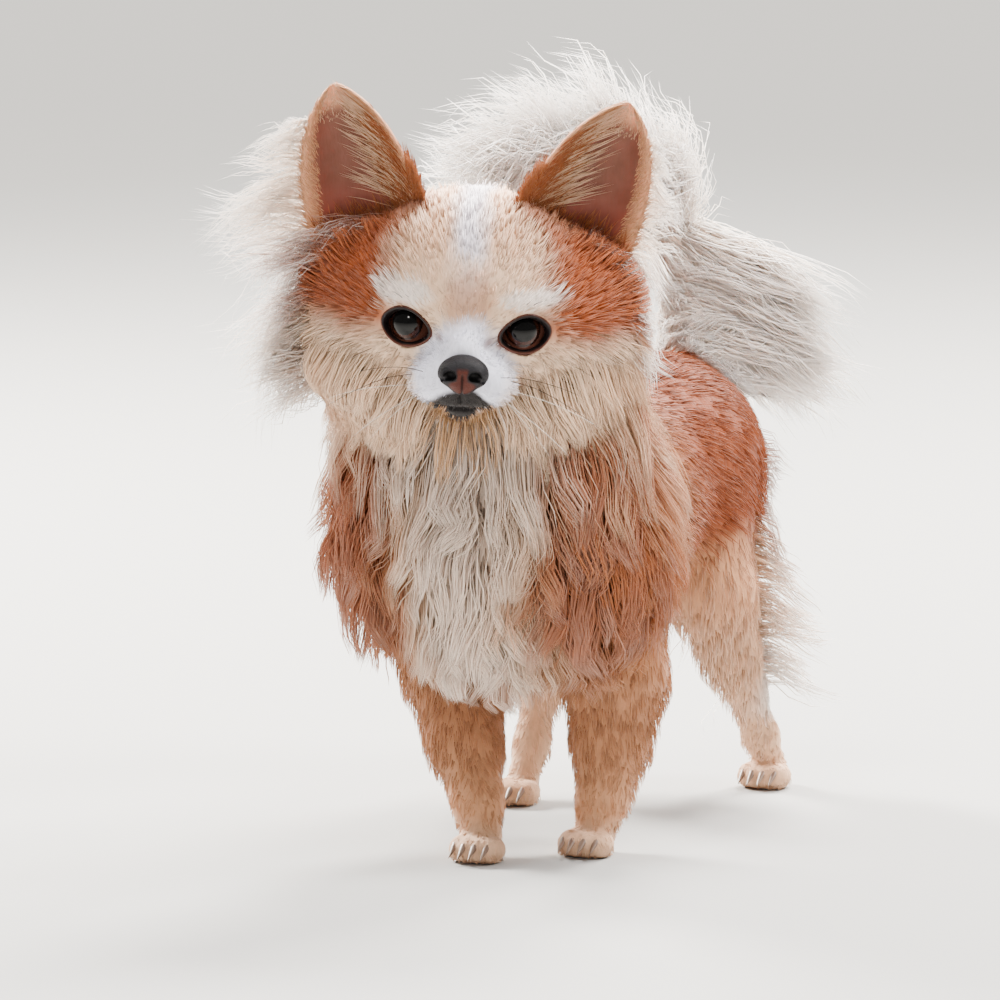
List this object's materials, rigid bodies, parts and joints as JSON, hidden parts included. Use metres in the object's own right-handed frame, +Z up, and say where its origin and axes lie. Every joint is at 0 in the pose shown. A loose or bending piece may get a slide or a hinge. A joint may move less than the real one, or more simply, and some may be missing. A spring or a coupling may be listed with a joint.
{
  "type": "long-haired chihuahua, standing figure",
  "caption": "Life-size long-haired chihuahua in mid step, fawn and white coat, erect ears and plumed tail curled over the back.",
  "frame": {"origin": "centre of the bounding box on the level of the soles", "axes": "+Z up; the dog's body faces -Y with its tail towards +Y; +X is the dog's left"},
  "size_m": [0.1734, 0.3064, 0.2829],
  "materials": {
    "body_coat": "matte, long fawn hair over a dense undercoat",
    "face_coat": "matte, short cream and white hair",
    "tail_coat": "matte, long silky hair",
    "ear": "thin skin with fine hair",
    "nose_leather": "moist, finely pebbled",
    "eye": "wet and glossy",
    "claw": "smooth horn"
  },
  "bodies": {
    "root": {"head": "face_coat", "muzzle": "face_coat", "lower_jaw": "face_coat", "nose": "nose_leather", "ear_right": "ear", "ear_left": "ear", "eye_right": "eye", "eye_left": "eye", "neck": "body_coat", "chest": "body_coat", "loin": "body_coat", "rump": "body_coat", "foreleg_right_upper_arm": "body_coat", "foreleg_right_forearm": "body_coat", "foreleg_right_paw": "face_coat", "foreleg_right_claw_1": "claw", "foreleg_right_claw_2": "claw", "foreleg_right_claw_3": "claw", "foreleg_right_claw_4": "claw", "foreleg_left_upper_arm": "body_coat", "foreleg_left_forearm": "body_coat", "foreleg_left_paw": "face_coat", "foreleg_left_claw_1": "claw", "foreleg_left_claw_2": "claw", "foreleg_left_claw_3": "claw", "foreleg_left_claw_4": "claw", "hindleg_right_thigh": "body_coat", "hindleg_right_shank": "body_coat", "hindleg_right_paw": "face_coat", "hindleg_right_claw_1": "claw", "hindleg_right_claw_2": "claw", "hindleg_right_claw_3": "claw", "hindleg_right_claw_4": "claw", "hindleg_left_thigh": "body_coat", "hindleg_left_shank": "body_coat", "hindleg_left_paw": "face_coat", "hindleg_left_claw_1": "claw", "hindleg_left_claw_2": "claw", "hindleg_left_claw_3": "claw", "hindleg_left_claw_4": "claw", "tail_root": "tail_coat", "tail_middle": "tail_coat", "tail_tip": "tail_coat"}
  },
  "joints": []
}
